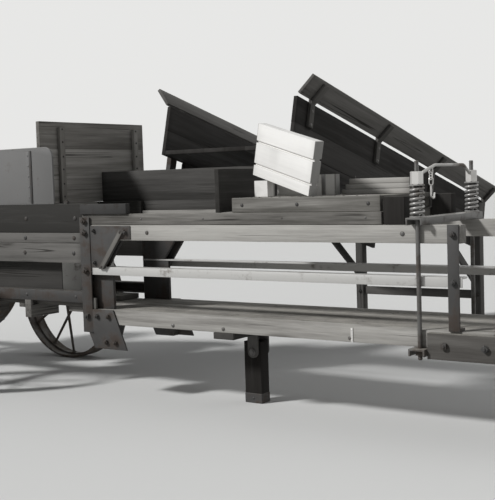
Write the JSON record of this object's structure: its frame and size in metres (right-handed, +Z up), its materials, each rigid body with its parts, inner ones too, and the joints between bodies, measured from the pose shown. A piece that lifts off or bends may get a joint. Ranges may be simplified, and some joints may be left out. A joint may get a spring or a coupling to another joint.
{
  "type": "square baler",
  "caption": "Belt-driven square hay baler with open railed bale chamber, crank-driven plunger, fold-up feed table, steel wheels and drawbar.",
  "frame": {"origin": "middle of the whole machine's outline, on the ground", "axes": "+X along the machine to the bale discharge end, +Y across it to the feed table's side, +Z up"},
  "size_m": [6.495, 3.5926, 1.6761],
  "materials": {
    "timber_grey": "weathered bare timber",
    "timber_light": "pale worn timber",
    "timber_dark": "dark weathered timber",
    "steel_pale": "worn bright by hay",
    "steel_dark": "faded dark paint over rust",
    "iron_dark": "dull cast iron",
    "sheet_pale": "pale painted sheet"
  },
  "bodies": {
    "frame": {"chamber_floor": "timber_grey", "sills": "timber_light", "mid_rails": "steel_pale", "top_rails": "timber_light", "rail_bands": "timber_grey", "corner_posts": "steel_dark", "side_panels": "timber_dark", "foot_brackets": "steel_dark", "main_beams": "steel_dark", "housing_sides": "timber_dark", "housing_slides": "timber_grey", "guard_panels": "sheet_pale", "end_board": "timber_dark", "hopper_boards": "timber_dark", "hopper_lip": "steel_dark", "deck": "timber_light", "deck_stops": "timber_dark", "divider_block": "timber_light", "crossbars": "steel_pale", "tension_rods": "steel_pale", "tension_springs": "steel_pale", "tension_nuts": "steel_pale", "tie_bar": "steel_pale", "bale_table": "timber_grey", "stub_axles": "steel_dark", "drawbar": "steel_dark", "stand_bracket": "steel_dark", "leg_bracket": "timber_dark", "gear_case": "iron_dark", "crank_bearing": "iron_dark", "drive_stands": "iron_dark", "feed_brackets": "steel_dark"},
    "near_wheel": {"wheel_near": "steel_dark"},
    "far_wheel": {"wheel_far": "steel_dark"},
    "drive": {"drive_shaft": "steel_pale", "flywheel": "iron_dark", "belt_pulley": "iron_dark"},
    "crank_arm": {"crank": "iron_dark"},
    "plunger_head": {"plunger": "timber_dark"},
    "connecting_rod": {"pitman": "timber_dark"},
    "stand": {"front_stand": "steel_dark"},
    "prop": {"prop_leg": "timber_dark"},
    "feed_table": {"feed_trough": "timber_dark", "feed_flares": "timber_dark", "feed_apron": "timber_grey", "feed_legs": "timber_dark"}
  },
  "joints": [
    {"name": "near_wheel_spin", "type": "hinge", "parent": "frame", "child": "near_wheel", "pos_m": [-0.6625, -1.68926, 0.4], "axis": [0, 1, 0], "continuous": true},
    {"name": "far_wheel_spin", "type": "hinge", "parent": "frame", "child": "far_wheel", "pos_m": [-0.6625, -0.44926, 0.4], "axis": [0, 1, 0], "continuous": true},
    {"name": "crank_spin", "type": "hinge", "parent": "frame", "child": "crank_arm", "pos_m": [-1.1525, -1.06926, 0.695], "axis": [0, 1, 0], "continuous": true},
    {"name": "drive_spin", "type": "hinge", "parent": "frame", "child": "drive", "pos_m": [-1.70308, -1.06926, 0.84253], "axis": [0, 1, 0], "continuous": true},
    {"name": "plunger_stroke", "type": "slide", "parent": "frame", "child": "plunger_head", "axis": [1, 0, 0], "range_m": [0, 0.84]},
    {"name": "pitman_swing", "type": "hinge", "parent": "plunger_head", "child": "connecting_rod", "pos_m": [-0.3225, -1.06926, 0.695], "axis": [0, 1, 0], "range_deg": [-19.6, 19.6]},
    {"name": "stand_fold", "type": "hinge", "parent": "frame", "child": "stand", "pos_m": [-2.4025, -1.06926, 0.38], "axis": [0, -1, 0], "range_deg": [0, 88]},
    {"name": "prop_fold", "type": "hinge", "parent": "frame", "child": "prop", "pos_m": [1.2575, -1.06926, 0.265], "axis": [0, -1, 0], "range_deg": [0, 85]},
    {"name": "feed_fold", "type": "hinge", "parent": "frame", "child": "feed_table", "pos_m": [0.7975, -0.66926, 1.301], "axis": [1, 0, 0], "range_deg": [0, 60]}
  ],
  "couplings": [
    {"joint": "drive_spin", "follows": "crank_spin", "ratio": -5}
  ]
}
